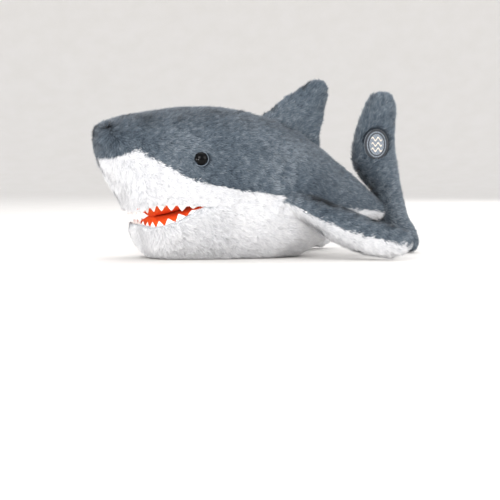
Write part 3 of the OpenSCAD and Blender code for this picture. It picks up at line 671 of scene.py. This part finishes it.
def at_eye(p, r=EYE_D / 2 + 0.3):
    """True within r of either eye's axis."""
    d = np.abs(p[:, 1:2]) * [0, -1, 0] + p * [1, 0, 1] - eye_at
    off = d - (d @ eye_out)[:, None] * eye_out
    return np.linalg.norm(off, axis=1) < r


def painted_light_tone(p):
    """Painted highlight in streaks where the panel is crumpled ahead of the fin, painted light a little
    lighter towards the tail, and painted shade a little darker towards the nose."""
    near = np.exp(-((p[:, 0] - 22) / 24) ** 2 - ((p[:, 2] - 76) / 24) ** 2) * (np.abs(p[:, 1]) > 30)
    folds = np.sin(p[:, 0] / 2.6 + 2.2 * soft_noise(p, 16, 9))
    rear, front = ease((p[:, 0] - 40) / 120), ease((-70 - p[:, 0]) / 60)
    return near * (0.24 + 0.20 * folds) + 0.10 * rear - 0.08 * front


def short_near(t, a, edge, width=5.0, least=0.62):
    """Pile is clipped near a lip: its length rises from least to 1 over width millimetres from the edge."""
    gap = np.linalg.norm(raw_skin(t, a) - raw_skin(t, edge), axis=-1)
    return mix(least, 1.0, ease(gap / width))


def back_panel(sides):
    """The grey panel of one side, from the nose to just inside the tail fin."""
    return body_panel(150, 42, lambda u: LAST_ROW * u, lambda t, v: seam_angle(t) * v, sides=sides)


def snout_panel(sides):
    """The white panel between the seam and the upper lip. It runs on behind the corner of the mouth."""
    def angle_of(t, v):
        """From the seam down to the lip, or to the jaw's edge behind the corner of the mouth."""
        return mix(seam_angle(t), np.where(t < HINGE_ROW, lip_angle(t), chin_angle(t)), v)

    def length_of(t, a):
        """Clipped along the upper lip."""
        return np.where(t < HINGE_ROW, short_near(t, a, lip_angle(t)), 1.0)
    return body_panel(70, 26, lambda u: mix(0.05, JOIN_ROW, u), angle_of, length_of, sides,
                      [(-1, upper_lip, -1, LIP_ROW)])


def jaw_panel():
    """The white lower jaw, chin to throat, from one lip to the other."""
    def length_of(t, a):
        """Clipped along the lower lip on both sides."""
        left = np.where(a < 180, a, 360 - a)
        return np.where(t < HINGE_ROW, short_near(t, left, chin_angle(t), 6.0, 0.45), 1.0)
    return body_panel(70, 90, lambda u: mix(CHIN_ROW + 0.02, JOIN_ROW, u ** 1.3),
                      lambda t, v: mix(chin_angle(t), 360 - chin_angle(t), v), length_of, 1,
                      [(-1, lower_lip, 1, CHIN_ROW), (0, lower_lip, 1, CHIN_ROW)])


def belly_panel():
    """The white belly from behind the jaw to just inside the tail fin."""
    return body_panel(110, 80, lambda u: mix(JOIN_ROW, LAST_ROW, u),
                      lambda t, v: mix(seam_angle(t), 360 - seam_angle(t), v))


def under_table(p):
    """True where the belly is pressed flat and no pile shows."""
    return (p[:, 2] < 1.2) & (depth_in_body(p) > 12)


def lay_white(p, n):
    """Backwards and down on the belly, and hanging down round the chin."""
    chin = ease((-62 - p[:, 0]) / 30)[:, None] * ease((44 - p[:, 2]) / 16)[:, None]
    return down_in_front(mix(np.array([1.0, 0, -0.3]), np.array([-0.2, 0, -0.8]), chin), n)


def lay_snout(p, n):
    """Backwards, and hardly down, so that the teeth stay clear."""
    return down_in_front(np.array([1.0, 0, -0.12]), n)


for side, word in ((1, "left"), (-1, "right")):
    # The grey back's tone carries painted highlight on the crumpled folds and towards the tail, and painted
    # shade towards the nose
    piece = grow("back_plush_" + word, back_panel(side), GREY_PILE, lay_back, 100 + side, bare=at_eye,
                 tone=painted_light_tone)
    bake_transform(piece)
    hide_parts("back_cover_" + word, "stem_cover_" + word)
    piece = grow("snout_plush_" + word, snout_panel(side), WHITE_PILE, lay_snout, 200 + side)
    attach(piece, "body")
    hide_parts("snout_cover_" + word)

piece = grow("jaw_plush", jaw_panel(), WHITE_PILE, lay_white, 301, length=8.0, lean=52, bare=under_table)
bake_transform(piece)
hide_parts("jaw_cover")
piece = grow("belly_plush", belly_panel(), WHITE_PILE, lay_white, 302, length=7.0, bare=under_table)
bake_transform(piece)
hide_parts("belly_cover", "stem_belly_cover")


# ---- Fins ----
def stuffed_skin(s, ni, nj, foot_v):
    """The closed backing of a stuffed flat piece: each ring of its grid goes out across the outer side
    and back across the other."""
    v = mix(foot_v, 1.0, np.linspace(0, 1, ni) ** 0.95)
    round_u = np.linspace(0, 2, 2 * nj, endpoint=False)
    vv, uu = np.meshgrid(v, round_u, indexing="ij")
    u = 0.5 - 0.5 * np.cos(np.pi * np.where(uu < 1, uu, 2 - uu))
    side = np.where(uu < 1, 1.0, -1.0)
    p = s.surface(u, vv, side, FIN_DEPTH)
    quads = grid_quads(ni, 2 * nj, wrap=True)
    points = p.reshape(-1, 3)
    start, end = points[:2 * nj].mean(axis=0), points[-2 * nj:].mean(axis=0)
    n = len(points)
    j = np.arange(2 * nj)
    k = (j + 1) % (2 * nj)
    foot_tris = np.stack([np.full(2 * nj, n), j, k], 1)
    tip_tris = np.stack([np.full(2 * nj, n + 1), n - 2 * nj + k, n - 2 * nj + j], 1)
    points = s.place(np.concatenate([points, [start, end]]))
    return points, quads, np.concatenate([foot_tris, tip_tris])


def blown(name, points, quads, tris):
    """The stuffed shape: the backing remeshed evenly, blown up as cloth under pressure with no gravity,
    no point moved further than CLOTH_CAP, and subdivided once."""
    obj = build(name + "_cloth", points, [tris, quads])
    mod = obj.modifiers.new("even", "REMESH")
    mod.mode = "VOXEL"
    mod.voxel_size = CLOTH_MESH * 0.001
    depsgraph = bpy.context.evaluated_depsgraph_get()
    even = bpy.data.meshes.new_from_object(obj.evaluated_get(depsgraph))
    obj.modifiers.clear()
    obj.data = even
    n = len(even.vertices)
    before = np.empty(n * 3, np.float32)
    even.vertices.foreach_get("co", before)
    cloth = obj.modifiers.new("cloth", "CLOTH")
    cloth.settings.use_pressure = True
    cloth.settings.uniform_pressure_force = CLOTH_PRESSURE
    cloth.settings.effector_weights.gravity = 0
    cloth.settings.quality = 5
    for f in range(1, CLOTH_FRAMES + 1):
        scene.frame_set(f)
    after_obj = obj.evaluated_get(bpy.context.evaluated_depsgraph_get())
    after = np.empty(n * 3, np.float32)
    after_obj.data.vertices.foreach_get("co", after)
    scene.frame_set(1)
    obj.modifiers.clear()
    move = (after - before).reshape(-1, 3)
    far = np.linalg.norm(move, axis=1, keepdims=True)
    print(name, "cloth moved up to", round(float(far.max()) * 1000, 2), "mm")
    move = move * np.minimum(1, CLOTH_CAP * 0.001 / np.maximum(far, 1e-9))
    even.vertices.foreach_set("co", (before.reshape(-1, 3) + move).ravel())
    sub = obj.modifiers.new("smooth", "SUBSURF")
    sub.levels = sub.render_levels = 1
    fine = bpy.data.meshes.new_from_object(obj.evaluated_get(bpy.context.evaluated_depsgraph_get()))
    bpy.data.objects.remove(obj)
    co = np.empty(len(fine.vertices) * 3, np.float32)
    fine.vertices.foreach_get("co", co)
    corners = np.empty(len(fine.loops), np.int32)
    fine.loops.foreach_get("vertex_index", corners)
    return co.reshape(-1, 3) * 1000.0, corners.reshape(-1, 4)


def half_panel(s, points, quads, side, mirror=1):
    """The part of a blown skin on one side of its middle surface, or all of it for side 0, as a panel."""
    if side:
        local = s.local(points)
        sag = s.sag * np.sin(np.pi * np.clip(local[:, 1] / s.span, 0, 1))
        quads = quads[side * (local[:, 2] - sag)[quads].mean(axis=1) > 0]
    used, quads = np.unique(quads, return_inverse=True)
    quads = quads.reshape(-1, 4)
    p = points[used].copy()
    p[:, 2] = np.maximum(p[:, 2], BACKING_FLOOR)
    if mirror < 0:
        p = p * [1, -1, 1]
        quads = quads[:, ::-1]
    return Panel(p, quads)


def inside_body(p):
    """True for roots that are buried in the body."""
    return depth_in_body(p) > 5.0


def lay_fin(p, n):
    """Backwards and outwards along a fin."""
    side = np.where(p[:, 1:2] < 0, -1.0, 1.0)
    return np.array([0.8, 0, -0.35]) + side * np.array([0, 0.6, 0])


def lay_dorsal(p, n):
    """Backwards and up."""
    return np.broadcast_to(np.array([0.75, 0, 0.5]), p.shape)


def lay_tail(p, n):
    """Backwards, and up above the root, down below it."""
    up = np.clip((p[:, 2:3] - 46) / 60, -0.7, 0.8)
    return np.array([0.7, 0, 0]) + up * np.array([0, 0, 1.0])


def painted_fin_light(p):
    """Painted light: the fins and the tail are drawn paler than the head."""
    return np.full(len(p), 0.12)


points, quads, tris = stuffed_skin(DORSAL, 36, 20, -0.2)
points, quads = blown("dorsal", points, quads, tris)
piece = grow("dorsal_plush", half_panel(DORSAL, points, quads, 0), GREY_PILE, lay_dorsal, 401,
             bare=inside_body, tone=painted_fin_light)
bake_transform(piece)
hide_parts("dorsal_fin_left_cover", "dorsal_fin_right_cover")

points, quads, tris = stuffed_skin(FLIPPER, 44, 22, -0.25)
points, quads = blown("flipper", points, quads, tris)
for mirror, word in ((1, "left"), (-1, "right")):
    for side, part, material, slot in ((-1, "top", GREY_PILE, "grey_plush"),
                                       (1, "under", WHITE_PILE, "white_plush")):
        piece = grow(word + "_fin_" + part + "_plush", half_panel(FLIPPER, points, quads, side, mirror),
                     material, lay_fin, 500 + mirror + 10 * side, bare=inside_body,
                     tone=painted_fin_light if side < 0 else None)
        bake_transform(piece)
        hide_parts(word + "_fin_" + part + "_cover")


def under_badge(p):
    """True within the badge on the tail fin's left side."""
    x = (p[:, 0] - TAIL.origin[0] - BADGE_AT[0]) / (BADGE_W / 2 + 1.2)
    z = (p[:, 2] - TAIL.origin[2] - BADGE_AT[1]) / (BADGE_H / 2 + 1.2)
    return (p[:, 1] < 0) & (x * x + z * z < 1)


points, quads, tris = stuffed_skin(TAIL, 60, 20, 0.0)
points, quads = blown("tail", points, quads, tris)
for side, word in ((1, "left"), (-1, "right")):
    piece = grow("tail_fin_plush_" + word, half_panel(TAIL, points, quads, side), GREY_PILE, lay_tail,
                 600 + side, bare=under_badge, tone=painted_fin_light)
    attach(piece, "tail_fin")
    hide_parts("tail_fin_" + word + "_cover")


# ---- Mouth ----
def lining_sheet(name, first, angle_of, height, way, body, node):
    """One lining pad: across from lip to lip by w, its height from the mouth's own surface plus soft
    wrinkles of half a millimetre that run from front to back."""
    u, w = np.meshgrid(np.linspace(0, 1, 60), np.linspace(-1, 1, 60), indexing="ij")
    t = mix(first, HINGE_ROW + 0.12, u)
    rim = np.maximum(-skin(t, angle_of(t), COVER + LINING_TUCK, 0.0)[..., 1], 0.5)
    x = raw_skin(t, 90.0)[..., 0]
    p = np.stack([x, w * rim, height(x, w)], axis=-1)
    fold = soft_noise(p * [0.35, 1, 0.6], 13, 31) * (1 - np.abs(w) ** 4)
    p[..., 2] = p[..., 2] + way * (0.5 * fold - 0.3)
    quads = grid_quads(60, 60)
    if way > 0:
        quads = quads[:, ::-1]
    obj = build(name, p.reshape(-1, 3), [quads], materials=[LINING])
    solid = obj.modifiers.new("cloth", "SOLIDIFY")
    solid.thickness = 0.0008
    solid.offset = -1.0
    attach(obj, body)
    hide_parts(node)


lining_sheet("mouth_roof_lining", LIP_ROW + 0.7, lip_angle, roof_z, -1, "body", "mouth_roof")
lining_sheet("mouth_floor_lining", CHIN_ROW + 0.65, chin_angle, floor_z, 1, "jaw", "mouth_floor")


def felt_teeth(name, count, front, angle_of, way, body, node):
    """A zigzag strip round the inside of a lip: along one side, straight across the front in teeth about
    TOOTH_PITCH wide, and back along the other side. Along the strip its height is a triangle wave with
    rounded tips, square to the lip; round its section by w it goes up the front and down the back, with the
    half thickness falling as the square root towards the edge."""
    columns = 2 * count * 6 + 1
    s = np.linspace(0, 1, columns)
    t = row_of(mix(MOUTH_DEPTH - 4, front * MOUTH_DEPTH + 0.8, np.sin(np.pi * s)))
    inner = COVER + 0.9 + TOOTH_T / 2

    def rim(at):
        """The strip's middle line on the left side, level with the lip."""
        q = skin(at, angle_of(at), inner, 0.0)
        q[..., 1] = np.minimum(q[..., 1], -0.2)
        q[..., 2] = (upper_lip if way < 0 else lower_lip)(q[..., 0])
        return q
    half = columns // 2
    across = max(1, round(2 * float(abs(rim(t)[half, 1])) / TOOTH_PITCH))
    over = np.linspace(0, 1, 12 * across, endpoint=False)
    sign = np.concatenate([np.ones(half), 1 - 2 * over, -np.ones(columns - half)])
    turn = np.concatenate([s[:half] * count, s[half] * count + across * over, s[half:] * count + across])
    t = np.concatenate([t[:half], np.full(len(over), t[half]), t[half:]])
    columns = len(t)
    q = rim(t)
    step = rim(t + 0.05) - rim(t - 0.05)
    slope = step[:, 2] / np.linalg.norm(step, axis=1)
    rise = unit(np.stack([-slope, np.zeros(columns), np.ones(columns)], axis=-1))
    q = q * np.stack([np.ones(columns), sign, np.ones(columns)], axis=-1)
    wave = 1 - np.abs(2 * (turn % 1.0) - 1)
    wave = 1.04 * (1 - (1 - wave) ** 1.15) - 0.04 * wave ** 4
    tall = np.minimum(TOOTH_HEIGHT, 0.45 * (upper_lip(q[:, 0]) - lower_lip(q[:, 0])))
    top = tall * mix(0.1, 1.0, wave)
    q_next = np.roll(q, -1, axis=0) - np.roll(q, 1, axis=0)
    q_next[0], q_next[-1] = q[1] - q[0], q[-1] - q[-2]
    out = unit(np.cross(rise, q_next))
    w = np.linspace(-1, 1, 11)
    up = 1 - np.abs(w) ** 1.2
    thick = np.sign(w) * np.sqrt(np.abs(w) ** 0.9) * TOOTH_T / 2
    high = -1.8 + up[None, :] * (top[:, None] + 1.8)
    p = q[:, None, :] + way * high[..., None] * rise[:, None, :] + thick[None, :, None] * out[:, None, :]
    p = p + 0.12 * np.stack([soft_noise(p, 2.5, 70 + k) for k in range(3)], axis=-1)
    quads = grid_quads(columns, 11)
    if way > 0:
        quads = quads[:, ::-1]
    obj = build(name, p.reshape(-1, 3), [quads], materials=[FELT])
    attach(obj, body)
    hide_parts(node)


felt_teeth("felt_teeth_upper", 17, LIP_FRONT, lip_angle, -1, "body", "upper_teeth")
felt_teeth("felt_teeth_lower", 15, CHIN_FRONT, chin_angle, 1, "jaw", "lower_teeth")


# ---- Eyes ----
def turned_shape(name, profile, at, out, materials, slots_of):
    """A profile of (radius, height) turned round the out axis at a point."""
    profile = np.array(profile, float)
    turn = np.linspace(0, 2 * math.pi, 64, endpoint=False)
    a = unit(np.cross(out, [0, 0, 1.0]))
    b = np.cross(out, a)
    ring = np.cos(turn)[:, None] * a + np.sin(turn)[:, None] * b
    p = at + profile[:, 0, None, None] * ring[None] + profile[:, 1, None, None] * out
    quads = grid_quads(len(profile), 64, wrap=True)
    slots = np.repeat(np.asarray(slots_of), 64)
    return build(name, p.reshape(-1, 3), [quads], materials=materials, slots=slots)


# The eye's profile from the top of its dome, over the rim, and down its stem
dome_turn = np.linspace(0.002, math.pi / 2, 18)
dome = [(6.6 * math.sin(a), 0.4 + EYE_DOME * 0.86 * math.cos(a)) for a in dome_turn]
rim = [(6.6, 0.3), (6.75, 0.9), (7.1, 1.05), (7.45, 0.75), (7.5, 0.2), (7.4, -0.6),
       (2.0, -0.8), (2.0, -13.0), (0.01, -13.2)]
eye_slots = [0] * (len(dome) - 1) + [1] * len(rim)
for mirror, word in ((1, "left"), (-1, "right")):
    flip = np.array([1, mirror, 1])
    seat = (eye_at - (COVER / 2 - SEAM_GAP) * eye_out) * flip
    piece = turned_shape(word + "_acrylic_eye", dome + rim, seat, eye_out * flip,
                         [EYE_BLACK, EYE_RIM], eye_slots)
    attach(piece, "body")
    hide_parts(word + "_eye")


# ---- Badge on the tail fin ----
def badge_point(x, y, level):
    """Badge coordinates to the frame: the cloth is bowed by 1 mm across its width over the stuffed fin."""
    bow = -0.006 * x * x - 0.002 * y * y
    return np.stack([TAIL.origin[0] + BADGE_AT[0] + x, -(TAIL_THICK / 2 + 0.4 + level + bow),
                     TAIL.origin[2] + BADGE_AT[1] + y], axis=-1)


turn = np.linspace(0, 2 * math.pi, 180, endpoint=False)
share = np.array([0.001, 0.2, 0.4, 0.6, 0.8, 0.94, 1.0, 1.0, 0.9])
level = np.array([0.9, 0.9, 0.9, 0.9, 0.9, 0.9, 0.6, -1.5, -4.0])
x = share[:, None] * np.cos(turn) * (BADGE_W / 2 - 0.4)
y = share[:, None] * np.sin(turn) * (BADGE_H / 2 - 0.4)
cloth = badge_point(x, y, level[:, None] + 0 * x)
quads = grid_quads(len(share), 180, wrap=True)[:, ::-1]
piece = build("badge_twill_oval", cloth.reshape(-1, 3), [quads], materials=[BADGE_TWILL])
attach(piece, "tail_fin")
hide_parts("badge_cloth")


def satin_ring(inset, width, turns=720, stitches=150):
    """A ring of satin stitch: an oval tube flattened onto the cloth, its height rippled once a stitch."""
    a, b = np.meshgrid(np.linspace(0, 2 * math.pi, turns, endpoint=False),
                       np.linspace(0, 2 * math.pi, 10, endpoint=False), indexing="ij")
    ripple = 0.85 + 0.15 * np.cos(stitches * a)
    off = width / 2 * np.cos(b)
    x = (BADGE_W / 2 - inset + off) * np.cos(a)
    y = (BADGE_H / 2 - inset + off) * np.sin(a)
    p = badge_point(x, y, 0.95 + 0.55 * ripple * np.sin(b))
    i, j = np.meshgrid(np.arange(turns), np.arange(10), indexing="ij")
    i_next, j_next = (i + 1) % turns, (j + 1) % 10
    corners = [i * 10 + j, i * 10 + j_next, i_next * 10 + j_next, i_next * 10 + j]
    return p.reshape(-1, 3), np.stack(corners, axis=-1).reshape(-1, 4)


outer, outer_quads = satin_ring(1.3, 2.4)
inner, inner_quads = satin_ring(4.3, 1.2)
piece = build("badge_stitched_rim", np.concatenate([outer, inner]),
              [np.concatenate([outer_quads, inner_quads + len(outer)])], materials=[DARK_THREAD])
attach(piece, "tail_fin")
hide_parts("badge_rim")
rows, faces, start = [], [], 0
for k in (-1, 0, 1):
    a, b = np.meshgrid(np.linspace(-6, 6, 200), np.linspace(0, 2 * math.pi, 8, endpoint=False), indexing="ij")
    twist = 0.9 + 0.1 * np.cos(a * 14 + b)
    taper = np.sqrt(np.maximum(0.02, 1 - (np.abs(a) / 6.0) ** 8))
    middle = 1.6 * np.sin(np.radians(60 * a)) + 5.4 * k
    p = badge_point(a, middle + 0.75 * taper * np.cos(b), 0.9 + 0.5 * taper * twist * np.sin(b))
    rows.append(p.reshape(-1, 3))
    faces.append(grid_quads(200, 8, start, wrap=True)[:, ::-1])
    start += len(rows[-1])
piece = build("badge_wave_stitches", np.concatenate(rows), [np.concatenate(faces)], materials=[CREAM_THREAD])
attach(piece, "tail_fin")
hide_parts("badge_waves")

# ---- Pieces that stay as they are, inside ----
INSIDE = {"stuffing": WADDING, "washer": WASHER, "pellet_pouch": MUSLIN, "pellets": PELLETS}
for name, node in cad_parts.items():
    for word, material in INSIDE.items():
        if word in name:
            node.data.materials.clear()
            node.data.materials.append(material)
            break

# ---- Floor, light and camera ----
floor_material = bumped("matt_studio_paper", [(0.3, "#e9e6e2"), (0.7, "#ece9e6")], 0.9, 60.0, 0.0)
# A round floor, flat out to 3 m, then turned up in a quarter circle of 1.2 m to a low wall
out_from = np.concatenate([np.linspace(0.001, 3, 12), 3 + 1.2 * np.sin(np.linspace(0.1, math.pi / 2, 12))])
up_from = np.concatenate([np.zeros(12), 1.2 - 1.2 * np.cos(np.linspace(0.1, math.pi / 2, 12))])
turn = np.linspace(0, 2 * math.pi, 96, endpoint=False)
bowl = np.stack([out_from[:, None] * np.cos(turn), out_from[:, None] * np.sin(turn),
                 up_from[:, None] + 0 * turn], axis=-1)
quads = grid_quads(24, 96, wrap=True)
floor = build("studio_floor", bowl.reshape(-1, 3) * 1000, [quads], materials=[floor_material])

world = bpy.data.worlds.new("studio")
scene.world = world
world.use_nodes = True
world.node_tree.nodes["Background"].inputs["Color"].default_value = linear("#f4f5f7")
world.node_tree.nodes["Background"].inputs["Strength"].default_value = 0.95


def area_light(name, at, to, size, watts):
    """A square soft light, aimed."""
    data = bpy.data.lights.new(name, "AREA")
    data.size = size
    data.energy = watts
    obj = bpy.data.objects.new(name, data)
    obj.location = at
    obj.rotation_euler = (Vector(to) - Vector(at)).to_track_quat("-Z", "Y").to_euler()
    scene.collection.objects.link(obj)


area_light("key_softbox", (-0.9, -1.5, 1.1), (0, 0, 0.06), 0.9, 17)
area_light("fill_softbox", (1.2, -1.2, 0.8), (0.05, 0, 0.06), 1.0, 10)
area_light("top_softbox", (0.1, 0.6, 1.6), (0, 0, 0.06), 1.2, 7)
area_light("rear_softbox", (1.6, 1.1, 0.9), (0.05, 0, 0.06), 1.2, 14)
# Two small lamps ahead of the head, which the polished eye shows as two bright points
area_light("eye_lamp_far", (-1.24, -0.30, 0.13), (-0.06, -0.05, 0.1), 0.3, 5)
area_light("eye_lamp_near", (-0.92, -1.02, 0.13), (-0.06, -0.05, 0.1), 0.3, 6)

data = bpy.data.cameras.new("camera")
data.sensor_width = 36.0
data.lens = 36.0 * 1300 / 500
data.clip_start = 0.05
camera = bpy.data.objects.new("camera", data)
camera.location = (-0.3613, -1.2407, 0.0888)
camera.rotation_euler = (Vector((0.018, 0, 0.006)) - camera.location).to_track_quat("-Z", "Y").to_euler()
scene.collection.objects.link(camera)
scene.camera = camera
scene.view_settings.view_transform = "Standard"
